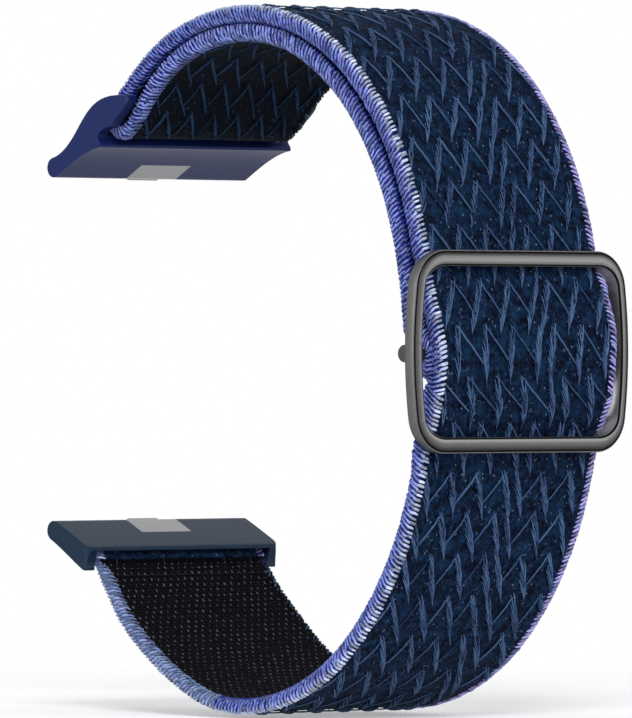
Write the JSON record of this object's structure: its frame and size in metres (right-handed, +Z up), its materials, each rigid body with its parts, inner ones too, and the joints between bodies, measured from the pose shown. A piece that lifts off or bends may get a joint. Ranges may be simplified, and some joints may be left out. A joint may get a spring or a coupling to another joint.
{
  "type": "watch strap",
  "caption": "Woven nylon loop strap: a bound strip doubled through a flat slider ring, with a pivoting metal lug connector at each end.",
  "frame": {"origin": "centre of the upper connector's tongue, in the middle of the case's upper slot", "axes": "+X across the strap, +Z up, -Y from the watch case towards the slider"},
  "size_m": [0.0304, 0.0611, 0.0738],
  "materials": {
    "navy_weave": "woven",
    "binding": "overlocked thread",
    "royal_metal": "satin anodised",
    "petrol_metal": "satin anodised",
    "gunmetal": "dark satin",
    "steel": "satin"
  },
  "bodies": {
    "upper_lug_body": {"upper_connector": "royal_metal", "upper_bar": "steel", "upper_latch_cover": "steel", "upper_latch_springs": "steel"},
    "upper_latch_body": {"upper_latch": "steel"},
    "band": {"lower_run": "navy_weave", "lower_run_edges": "binding", "lower_travel": "navy_weave", "lower_travel_edges": "binding", "upper_travel": "navy_weave", "upper_travel_edges": "binding", "outer_run": "navy_weave", "outer_run_edges": "binding", "upper_fold": "navy_weave", "upper_fold_edges": "binding", "inner_run": "navy_weave", "inner_run_edges": "binding", "inner_travel": "navy_weave", "inner_travel_edges": "binding"},
    "slider": {"slider_frame": "gunmetal", "slider_bar": "gunmetal", "bridge": "navy_weave", "bridge_edges": "binding", "tail": "navy_weave", "tail_edges": "binding"},
    "lower_lug_body": {"lower_connector": "petrol_metal", "lower_pin": "steel", "lower_latch_cover": "steel", "lower_latch_springs": "steel"},
    "lower_latch_body": {"lower_latch": "steel"}
  },
  "joints": [
    {"name": "upper_hinge", "type": "hinge", "parent": "upper_lug_body", "child": "band", "pos_m": [0, -0.0088, 0.0051], "axis": [1, 0, 0], "range_deg": [-20, 45]},
    {"name": "slider_slide", "type": "hinge", "parent": "band", "child": "slider", "pos_m": [0, -0.0097, -0.0198], "axis": [1, 0, 0], "range_deg": [-12, 12], "deforming": ["lower_travel", "lower_travel_edges", "upper_travel", "upper_travel_edges", "inner_travel", "inner_travel_edges"]},
    {"name": "lower_hinge", "type": "hinge", "parent": "band", "child": "lower_lug_body", "pos_m": [0, -0.0039, -0.041], "axis": [1, 0, 0], "range_deg": [-45, 20]},
    {"name": "upper_latch_press", "type": "slide", "parent": "upper_lug_body", "child": "upper_latch_body", "axis": [0, -0.8829, 0.4695], "range_m": [0, 0.0005], "stiffness_N_per_m": 1000, "springref_m": -0.0005, "deforming": ["upper_latch_springs"]},
    {"name": "lower_latch_press", "type": "slide", "parent": "lower_lug_body", "child": "lower_latch_body", "axis": [0, -0.8829, -0.4695], "range_m": [0, 0.0005], "stiffness_N_per_m": 1000, "springref_m": -0.0005, "deforming": ["lower_latch_springs"]}
  ]
}
